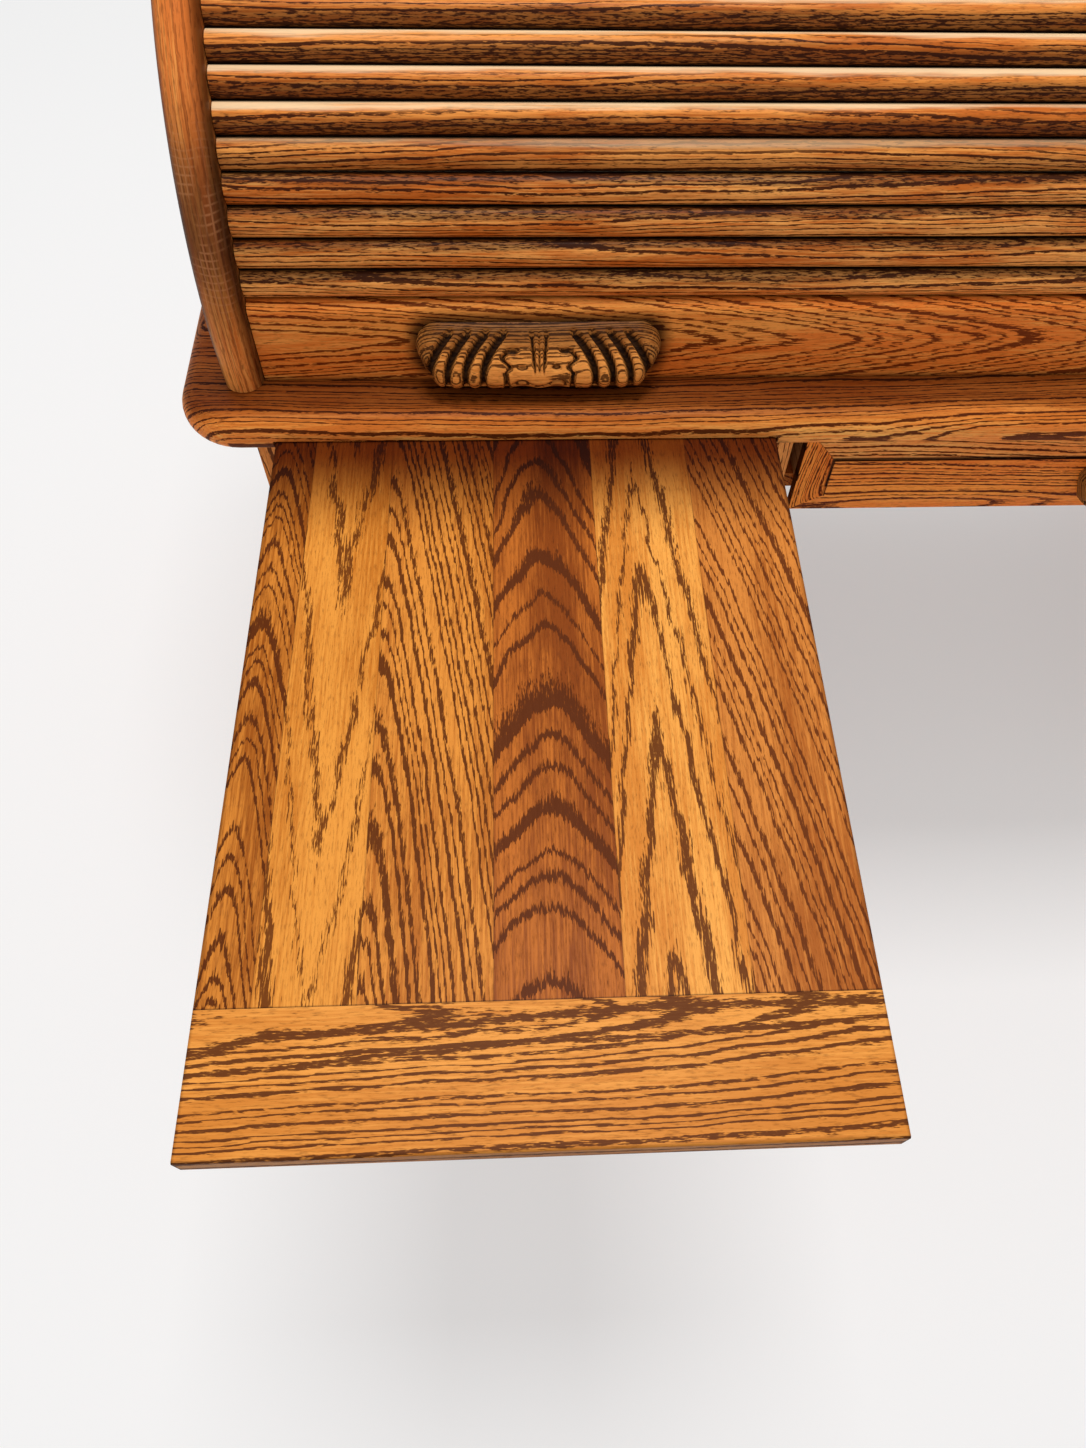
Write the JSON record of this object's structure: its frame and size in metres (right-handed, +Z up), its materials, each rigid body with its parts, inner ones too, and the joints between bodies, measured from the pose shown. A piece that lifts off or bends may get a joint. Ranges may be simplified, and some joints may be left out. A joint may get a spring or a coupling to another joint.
{
  "type": "tambour desk",
  "caption": "Roll-top oak desk: slatted tambour on a round track over a bullnosed top, raised-panel drawers with carved pulls, and a pull-out writing slide over each pedestal.",
  "frame": {"origin": "on the floor, midway between the drawn left writing slide's front edge and the back of the desktop, halfway across", "axes": "+X to the sitter's right along the desktop, +Y from the sitter to the back, +Z up"},
  "size_m": [1.727, 1.2624, 1.064],
  "materials": {
    "oak": "golden oak under satin varnish",
    "slide_oak": "oak staves of several tones under satin varnish",
    "carved_oak": "carved oak with dark glaze in the cuts",
    "inner_wood": "plain pale wood, unpolished",
    "canvas": "woven canvas"
  },
  "bodies": {
    "case": {"desktop": "oak", "modesty_panel": "oak", "centre_drawer_ledges": "inner_wood", "deck": "oak", "roll_back": "oak", "organiser_case": "oak", "organiser_partitions": "oak", "left_plinth": "oak", "left_bottom_board": "oak", "left_front_frame": "oak", "left_side_frame": "oak", "left_side_panels": "oak", "left_inner_side": "oak", "left_back_board": "oak", "left_runners": "inner_wood", "left_gable": "oak", "right_plinth": "oak", "right_bottom_board": "oak", "right_front_frame": "oak", "right_side_frame": "oak", "right_side_panels": "oak", "right_inner_side": "oak", "right_back_board": "oak", "right_runners": "inner_wood", "right_gable": "oak"},
    "roll": {"lift_rail": "oak", "slats": "oak", "canvas": "canvas", "left_roll_pull": "carved_oak", "right_roll_pull": "carved_oak"},
    "left_slide": {"left_slide_boards": "slide_oak", "left_slide_end_rail": "slide_oak", "left_slide_tail": "slide_oak"},
    "right_slide": {"right_slide_boards": "slide_oak", "right_slide_end_rail": "slide_oak", "right_slide_tail": "slide_oak"},
    "centre_drawer": {"centre_drawer_front": "oak", "centre_drawer_box": "inner_wood", "centre_drawer_pull": "carved_oak"},
    "left_upper_drawer": {"left_upper_drawer_front": "oak", "left_upper_drawer_box": "inner_wood", "left_upper_drawer_pull": "carved_oak"},
    "left_middle_drawer": {"left_middle_drawer_front": "oak", "left_middle_drawer_box": "inner_wood", "left_middle_drawer_pull": "carved_oak"},
    "left_lower_drawer": {"left_lower_drawer_front": "oak", "left_lower_drawer_box": "inner_wood", "left_lower_drawer_pull": "carved_oak"},
    "right_upper_drawer": {"right_upper_drawer_front": "oak", "right_upper_drawer_box": "inner_wood", "right_upper_drawer_pull": "carved_oak"},
    "right_middle_drawer": {"right_middle_drawer_front": "oak", "right_middle_drawer_box": "inner_wood", "right_middle_drawer_pull": "carved_oak"},
    "right_lower_drawer": {"right_lower_drawer_front": "oak", "right_lower_drawer_box": "inner_wood", "right_lower_drawer_pull": "carved_oak"}
  },
  "joints": [
    {"name": "roll_turn", "type": "hinge", "parent": "case", "child": "roll", "pos_m": [0, 0.1725, 0.789], "axis": [-1, 0, 0], "range_deg": [0, 70]},
    {"name": "left_slide_travel", "type": "slide", "parent": "case", "child": "left_slide", "axis": [0, 1, 0], "range_m": [0, 0.5244]},
    {"name": "right_slide_travel", "type": "slide", "parent": "case", "child": "right_slide", "axis": [0, -1, 0], "range_m": [0, 0.5244]},
    {"name": "centre_drawer_travel", "type": "slide", "parent": "case", "child": "centre_drawer", "axis": [0, -1, 0], "range_m": [0, 0.36]},
    {"name": "left_upper_drawer_travel", "type": "slide", "parent": "case", "child": "left_upper_drawer", "axis": [0, -1, 0], "range_m": [0, 0.48]},
    {"name": "left_middle_drawer_travel", "type": "slide", "parent": "case", "child": "left_middle_drawer", "axis": [0, -1, 0], "range_m": [0, 0.48]},
    {"name": "left_lower_drawer_travel", "type": "slide", "parent": "case", "child": "left_lower_drawer", "axis": [0, -1, 0], "range_m": [0, 0.48]},
    {"name": "right_upper_drawer_travel", "type": "slide", "parent": "case", "child": "right_upper_drawer", "axis": [0, -1, 0], "range_m": [0, 0.48]},
    {"name": "right_middle_drawer_travel", "type": "slide", "parent": "case", "child": "right_middle_drawer", "axis": [0, -1, 0], "range_m": [0, 0.48]},
    {"name": "right_lower_drawer_travel", "type": "slide", "parent": "case", "child": "right_lower_drawer", "axis": [0, -1, 0], "range_m": [0, 0.48]}
  ]
}
